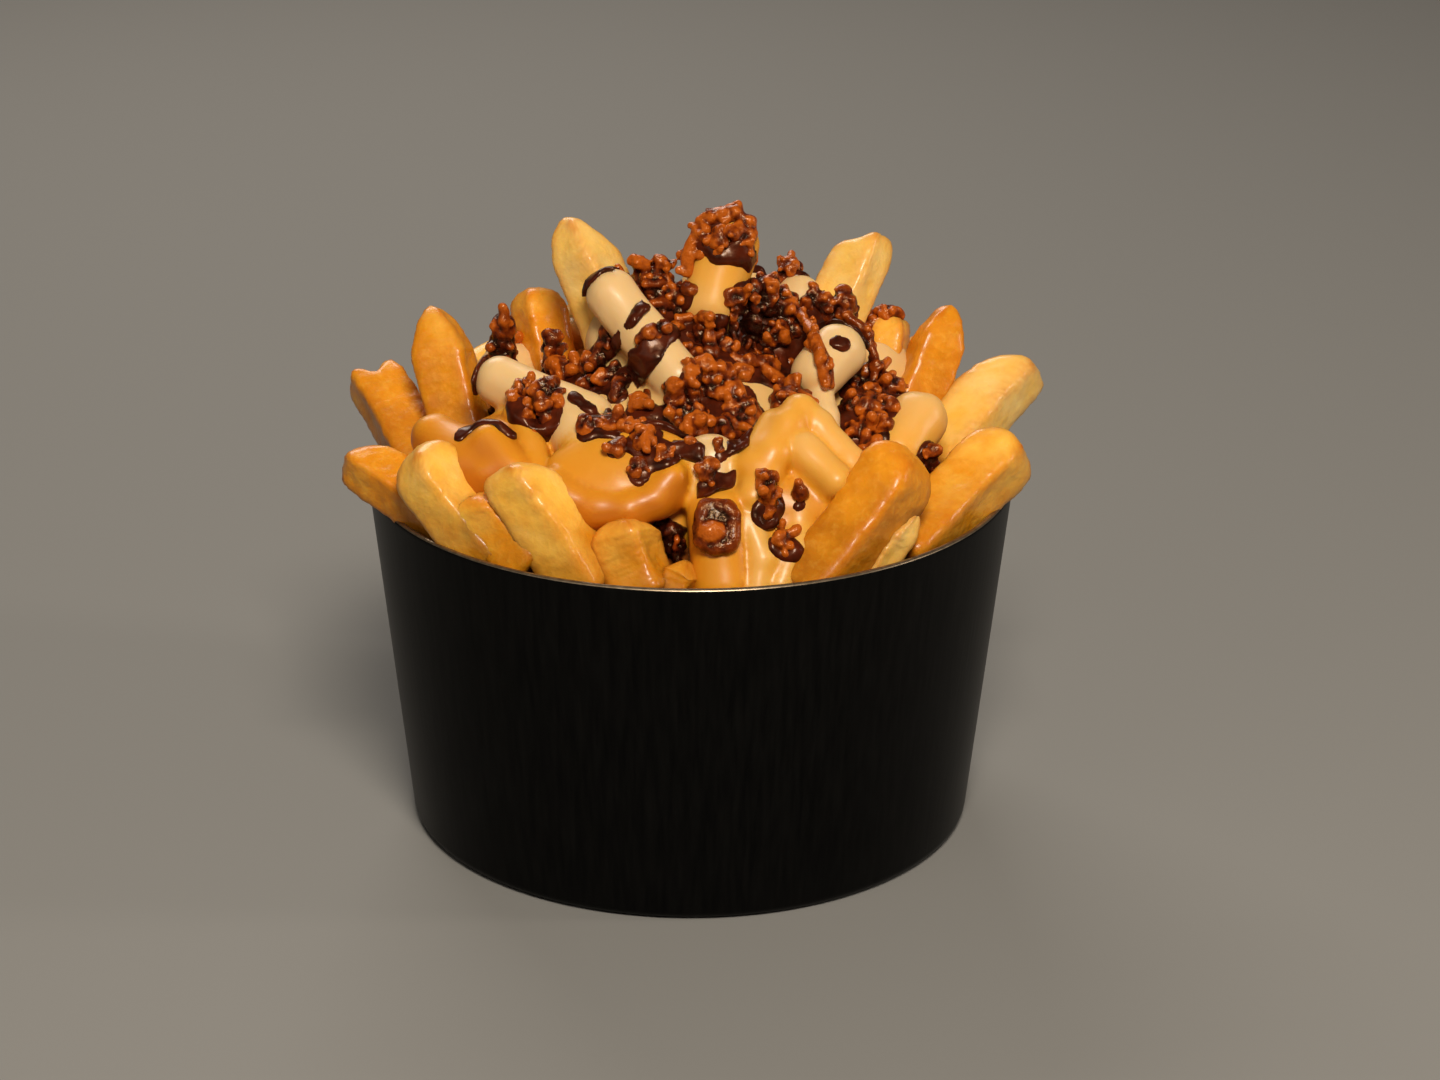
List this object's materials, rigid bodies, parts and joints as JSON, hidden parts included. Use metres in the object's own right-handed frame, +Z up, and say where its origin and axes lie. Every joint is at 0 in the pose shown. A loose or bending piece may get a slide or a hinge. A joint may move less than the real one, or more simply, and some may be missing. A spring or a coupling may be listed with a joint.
{
  "type": "cheese fries",
  "caption": "Thick-cut potato fries heaped over the rim of a plain black tapered tub, under melted cheese, dark drizzled sauce and crisp brown crumbs",
  "frame": {"origin": "the middle of the tub's flat base, on the surface it stands on", "axes": "+Z up through the tub, -Y towards the front of the heap that the picture shows, +X to the right seen from the front"},
  "size_m": [0.164, 0.1488, 0.1449],
  "materials": {
    "tub": "satin black coating with a fine vertical grain, bare metal at the rolled rim",
    "fries": "golden fried potato, crisp and slightly oily, darker at the edges and tips",
    "cheese": "smooth glossy melted cheese, cream on the top and amber where it has run",
    "crumbs": "crisp craggy crumbs in a dark red-brown glaze, orange-brown where thin"
  },
  "bodies": {
    "root": {"tub": "tub", "fries": "fries", "cheese_sauce": "cheese", "chunk_1": "crumbs", "chunk_2": "crumbs", "chunk_3": "crumbs", "chunk_4": "crumbs", "chunk_5": "crumbs", "chunk_6": "crumbs", "chunk_7": "crumbs", "chunk_8": "crumbs", "chunk_9": "crumbs"}
  },
  "joints": []
}
